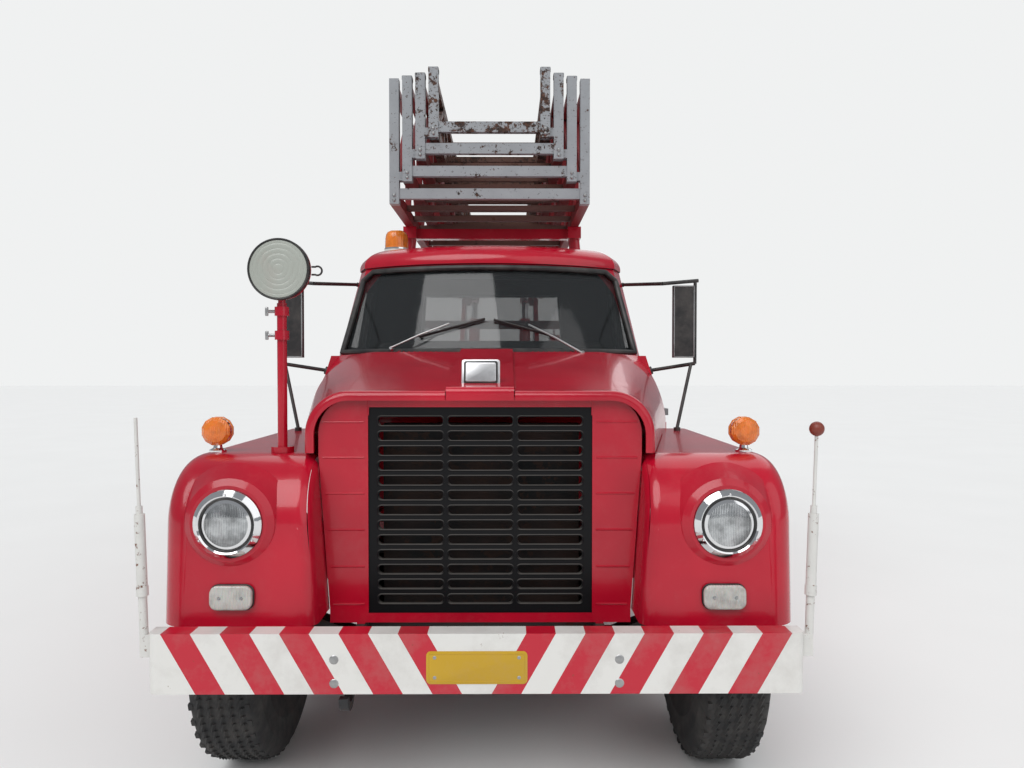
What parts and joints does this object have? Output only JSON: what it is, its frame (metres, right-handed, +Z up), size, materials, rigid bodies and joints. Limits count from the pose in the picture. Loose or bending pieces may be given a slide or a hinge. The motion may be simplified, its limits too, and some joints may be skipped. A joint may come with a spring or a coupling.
{
  "type": "fire engine with turntable ladder",
  "caption": "Bonneted red fire engine with a nested trussed turntable ladder over the cab, opening doors, hood halves, lockers, steering and jacks.",
  "frame": {"origin": "on the ground, on the centre line, at half the overall length", "axes": "+Z up, the front faces -Y, +X is the vehicle's left side"},
  "size_m": [2.2, 7.6, 3.096],
  "materials": {
    "red_paint": "gloss",
    "black_paint": "satin",
    "striped_paint": "gloss",
    "white_paint": "satin",
    "frame_paint": "matt",
    "chrome": "polished",
    "glass": "clear",
    "lamp": "clear",
    "beacon_amber": "clear",
    "tyre": "matt",
    "rim": "satin",
    "ladder_grey": "worn",
    "ladder_red": "worn",
    "steel": "machined",
    "deck_plate": "patterned",
    "seat": "grained",
    "wheel_black": "gloss",
    "engine": "rough",
    "exhaust": "sooty",
    "mirror_black": "matt"
  },
  "bodies": {
    "chassis": {"chassis_frame": "frame_paint", "front_bumper": "striped_paint", "bumper_markers": "white_paint", "front_axle": "frame_paint", "rear_axle": "frame_paint", "engine_and_radiator": "engine", "exhaust": "exhaust", "cab_steps": "red_paint", "fender_left": "red_paint", "fender_right": "red_paint", "grille_surround": "red_paint", "grille": "black_paint", "hood_spine": "red_paint", "headlamps": "chrome", "marker_lamps": "lamp", "beacon": "beacon_amber", "searchlight": "red_paint", "cab_shell": "red_paint", "cab_roof": "red_paint", "cab_glass": "glass", "mirrors": "mirror_black", "bench_seat": "seat", "seat_base": "black_paint", "steering_wheel": "wheel_black", "deck": "deck_plate", "lockers": "red_paint", "ladder_cradle": "red_paint"},
    "door_left": {"door_left": "red_paint", "door_glass_left": "glass"},
    "door_right": {"door_right": "red_paint", "door_glass_right": "glass"},
    "hood_left": {"hood_left": "red_paint"},
    "hood_right": {"hood_right": "red_paint"},
    "locker_door_left_front": {"locker_door_left_front": "red_paint"},
    "locker_door_left_rear": {"locker_door_left_rear": "red_paint"},
    "locker_door_right_front": {"locker_door_right_front": "red_paint"},
    "locker_door_right_rear": {"locker_door_right_rear": "red_paint"},
    "knuckle_left": {"knuckle_left": "frame_paint"},
    "knuckle_right": {"knuckle_right": "frame_paint"},
    "tie_rod": {"tie_rod": "steel"},
    "wheel_front_left": {"tyre_front_left": "tyre", "rim_front_left": "rim"},
    "wheel_front_right": {"tyre_front_right": "tyre", "rim_front_right": "rim"},
    "wheel_rear_left": {"tyre_rear_left": "tyre", "rim_rear_left": "rim"},
    "wheel_rear_right": {"tyre_rear_right": "tyre", "rim_rear_right": "rim"},
    "turntable": {"turntable": "red_paint"},
    "ladder_base": {"ladder_base": "ladder_red", "ladder_brackets": "ladder_red"},
    "ladder_2": {"ladder_2": "ladder_grey"},
    "ladder_3": {"ladder_3": "ladder_grey"},
    "ladder_4": {"ladder_4": "ladder_grey"},
    "lift_barrels": {"lift_barrels": "red_paint"},
    "lift_rods": {"lift_rods": "chrome"},
    "jack_left_front": {"jack_left_front": "steel"},
    "jack_left_rear": {"jack_left_rear": "steel"},
    "jack_right_front": {"jack_right_front": "steel"},
    "jack_right_rear": {"jack_right_rear": "steel"}
  },
  "joints": [
    {"name": "door_left_hinge", "type": "hinge", "parent": "chassis", "child": "door_left", "pos_m": [0.891, -2.254, 1.3], "axis": [0, 0, -1], "range_deg": [0, 65]},
    {"name": "hood_left_hinge", "type": "hinge", "parent": "chassis", "child": "hood_left", "pos_m": [0.12, -3.52, 1.458], "axis": [0, -0.9845, -0.1755], "range_deg": [0, 55]},
    {"name": "locker_left_front_hinge", "type": "hinge", "parent": "chassis", "child": "locker_door_left_front", "pos_m": [1.086, -0.74, 0.574], "axis": [0, 1, 0], "range_deg": [0, 90]},
    {"name": "locker_left_rear_hinge", "type": "hinge", "parent": "chassis", "child": "locker_door_left_rear", "pos_m": [1.086, 0.49, 0.574], "axis": [0, 1, 0], "range_deg": [0, 90]},
    {"name": "steer_left", "type": "hinge", "parent": "chassis", "child": "knuckle_left", "pos_m": [0.76, -3.035, 0.505], "axis": [0, 0, 1], "range_deg": [-30, 30]},
    {"name": "wheel_front_left_spin", "type": "hinge", "parent": "knuckle_left", "child": "wheel_front_left", "pos_m": [0.9, -3.035, 0.505], "axis": [1, 0, 0], "continuous": true},
    {"name": "wheel_rear_left_spin", "type": "hinge", "parent": "chassis", "child": "wheel_rear_left", "pos_m": [0.83, 1.79, 0.505], "axis": [1, 0, 0], "continuous": true},
    {"name": "jack_left_front_slide", "type": "slide", "parent": "chassis", "child": "jack_left_front", "axis": [0, 0, -1], "range_m": [0, 0.298]},
    {"name": "jack_left_rear_slide", "type": "slide", "parent": "chassis", "child": "jack_left_rear", "axis": [0, 0, -1], "range_m": [0, 0.298]},
    {"name": "door_right_hinge", "type": "hinge", "parent": "chassis", "child": "door_right", "pos_m": [-0.891, -2.254, 1.3], "axis": [0, 0, 1], "range_deg": [0, 65]},
    {"name": "hood_right_hinge", "type": "hinge", "parent": "chassis", "child": "hood_right", "pos_m": [-0.12, -3.52, 1.458], "axis": [0, 0.9845, 0.1755], "range_deg": [0, 55]},
    {"name": "locker_right_front_hinge", "type": "hinge", "parent": "chassis", "child": "locker_door_right_front", "pos_m": [-1.086, -0.74, 0.574], "axis": [0, -1, 0], "range_deg": [0, 90]},
    {"name": "locker_right_rear_hinge", "type": "hinge", "parent": "chassis", "child": "locker_door_right_rear", "pos_m": [-1.086, 0.49, 0.574], "axis": [0, -1, 0], "range_deg": [0, 90]},
    {"name": "steer_right", "type": "hinge", "parent": "chassis", "child": "knuckle_right", "pos_m": [-0.76, -3.035, 0.505], "axis": [0, 0, 1], "range_deg": [-30, 30]},
    {"name": "wheel_front_right_spin", "type": "hinge", "parent": "knuckle_right", "child": "wheel_front_right", "pos_m": [-0.9, -3.035, 0.505], "axis": [1, 0, 0], "continuous": true},
    {"name": "wheel_rear_right_spin", "type": "hinge", "parent": "chassis", "child": "wheel_rear_right", "pos_m": [-0.83, 1.79, 0.505], "axis": [1, 0, 0], "continuous": true},
    {"name": "jack_right_front_slide", "type": "slide", "parent": "chassis", "child": "jack_right_front", "axis": [0, 0, -1], "range_m": [0, 0.298]},
    {"name": "jack_right_rear_slide", "type": "slide", "parent": "chassis", "child": "jack_right_rear", "axis": [0, 0, -1], "range_m": [0, 0.298]},
    {"name": "tie_rod_pivot", "type": "hinge", "parent": "knuckle_left", "child": "tie_rod", "pos_m": [0.76, -2.845, 0.39], "axis": [0, 0, 1], "range_deg": [-30, 30]},
    {"name": "turntable_turn", "type": "hinge", "parent": "chassis", "child": "turntable", "pos_m": [0, 2.4, 1.38], "axis": [0, 0, 1], "continuous": true},
    {"name": "ladder_elevation", "type": "hinge", "parent": "turntable", "child": "ladder_base", "pos_m": [0, 3.15, 2.33], "axis": [-1, 0, 0], "range_deg": [0, 75]},
    {"name": "ladder_extend_2", "type": "slide", "parent": "ladder_base", "child": "ladder_2", "axis": [0, -1, 0], "range_m": [0, 4.3]},
    {"name": "ladder_extend_3", "type": "slide", "parent": "ladder_2", "child": "ladder_3", "axis": [0, -1, 0], "range_m": [0, 4.3]},
    {"name": "ladder_extend_4", "type": "slide", "parent": "ladder_3", "child": "ladder_4", "axis": [0, -1, 0], "range_m": [0, 4.3]},
    {"name": "lift_barrel_swing", "type": "hinge", "parent": "turntable", "child": "lift_barrels", "pos_m": [0, 2.65, 1.55], "axis": [-1, 0, 0], "range_deg": [0, 8]},
    {"name": "lift_rod_slide", "type": "slide", "parent": "lift_barrels", "child": "lift_rods", "axis": [0, 0.1888, 0.982], "range_m": [0, 0.42]}
  ],
  "couplings": [
    {"joint": "steer_right", "follows": "steer_left", "ratio": 1},
    {"joint": "tie_rod_pivot", "follows": "steer_left", "ratio": -1},
    {"joint": "ladder_extend_3", "follows": "ladder_extend_2", "ratio": 1},
    {"joint": "ladder_extend_4", "follows": "ladder_extend_2", "ratio": 1},
    {"joint": "lift_barrel_swing", "follows": "ladder_elevation", "ratio": 0.09841},
    {"joint": "lift_rod_slide", "follows": "ladder_elevation", "m_per_rad": 0.3119}
  ]
}
